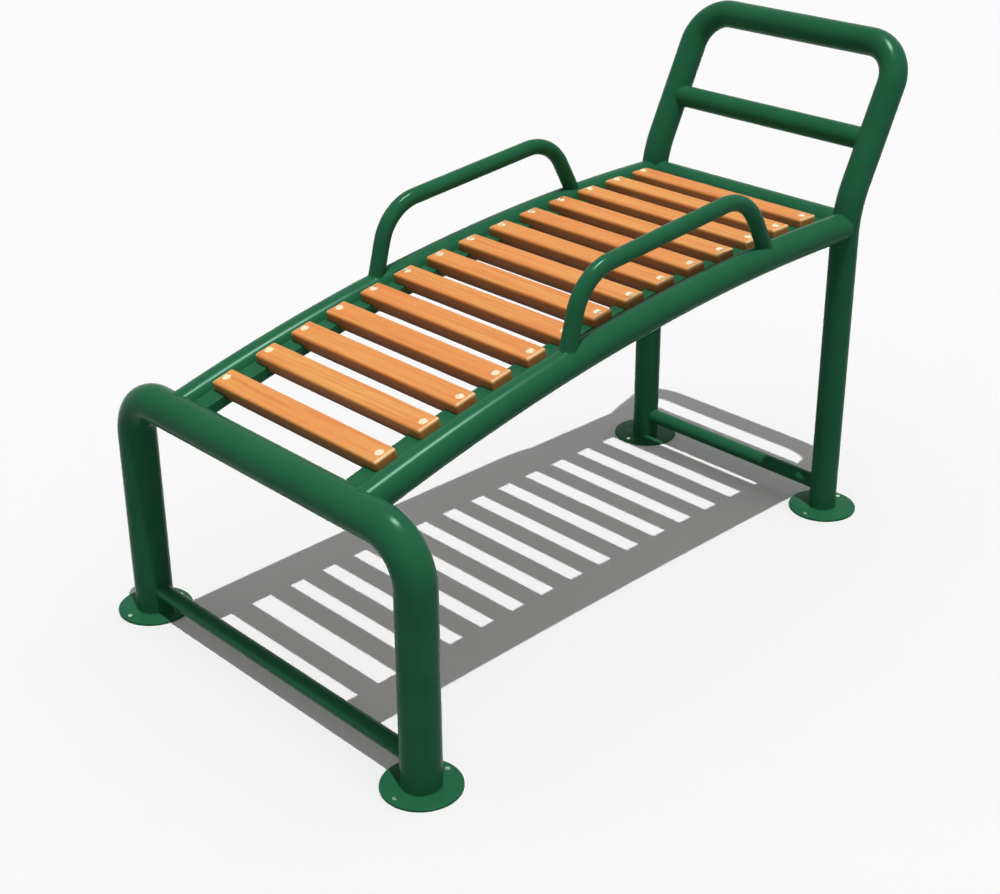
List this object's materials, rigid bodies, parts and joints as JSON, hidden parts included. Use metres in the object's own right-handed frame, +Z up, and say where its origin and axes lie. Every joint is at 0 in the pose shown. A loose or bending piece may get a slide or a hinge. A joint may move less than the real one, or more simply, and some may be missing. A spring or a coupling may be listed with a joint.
{
  "type": "outdoor sit-up bench",
  "caption": "Fixed sit-up bench of bent round tube with an arched timber-slat seat, side hand grips and a tilted back hoop with a foot bar, on bolt-down round plates.",
  "frame": {"origin": "on the floor, under the centre of the bench's bounding box", "axes": "+X from the low front end to the back hoop, +Y to the left of a user who walks towards the hoop, +Z up"},
  "size_m": [1.6029, 0.982, 1.0579],
  "materials": {
    "green_powder_coat": "glossy green powder coat",
    "oiled_hardwood": "oiled orange-brown hardwood with fine straight grain",
    "bright_steel": "bright stainless steel"
  },
  "bodies": {
    "root": {"front_hoop": "green_powder_coat", "front_tie_bar": "green_powder_coat", "rear_hoop": "green_powder_coat", "rear_tie_bar": "green_powder_coat", "rear_cross_tube": "green_powder_coat", "foot_bar": "green_powder_coat", "seat_rail_left": "green_powder_coat", "seat_rail_right": "green_powder_coat", "slat_ledge_left": "green_powder_coat", "slat_ledge_right": "green_powder_coat", "handle_left": "green_powder_coat", "handle_right": "green_powder_coat", "floor_plate_front_left": "green_powder_coat", "floor_plate_front_right": "green_powder_coat", "floor_plate_rear_left": "green_powder_coat", "floor_plate_rear_right": "green_powder_coat", "slat_01": "oiled_hardwood", "slat_02": "oiled_hardwood", "slat_03": "oiled_hardwood", "slat_04": "oiled_hardwood", "slat_05": "oiled_hardwood", "slat_06": "oiled_hardwood", "slat_07": "oiled_hardwood", "slat_08": "oiled_hardwood", "slat_09": "oiled_hardwood", "slat_10": "oiled_hardwood", "slat_11": "oiled_hardwood", "slat_12": "oiled_hardwood", "slat_13": "oiled_hardwood", "slat_14": "oiled_hardwood", "slat_bolt_01_left": "bright_steel", "slat_bolt_01_right": "bright_steel", "slat_bolt_02_left": "bright_steel", "slat_bolt_02_right": "bright_steel", "slat_bolt_03_left": "bright_steel", "slat_bolt_03_right": "bright_steel", "slat_bolt_04_left": "bright_steel", "slat_bolt_04_right": "bright_steel", "slat_bolt_05_left": "bright_steel", "slat_bolt_05_right": "bright_steel", "slat_bolt_06_left": "bright_steel", "slat_bolt_06_right": "bright_steel", "slat_bolt_07_left": "bright_steel", "slat_bolt_07_right": "bright_steel", "slat_bolt_08_left": "bright_steel", "slat_bolt_08_right": "bright_steel", "slat_bolt_09_left": "bright_steel", "slat_bolt_09_right": "bright_steel", "slat_bolt_10_left": "bright_steel", "slat_bolt_10_right": "bright_steel", "slat_bolt_11_left": "bright_steel", "slat_bolt_11_right": "bright_steel", "slat_bolt_12_left": "bright_steel", "slat_bolt_12_right": "bright_steel", "slat_bolt_13_left": "bright_steel", "slat_bolt_13_right": "bright_steel", "slat_bolt_14_left": "bright_steel", "slat_bolt_14_right": "bright_steel"}
  },
  "joints": []
}
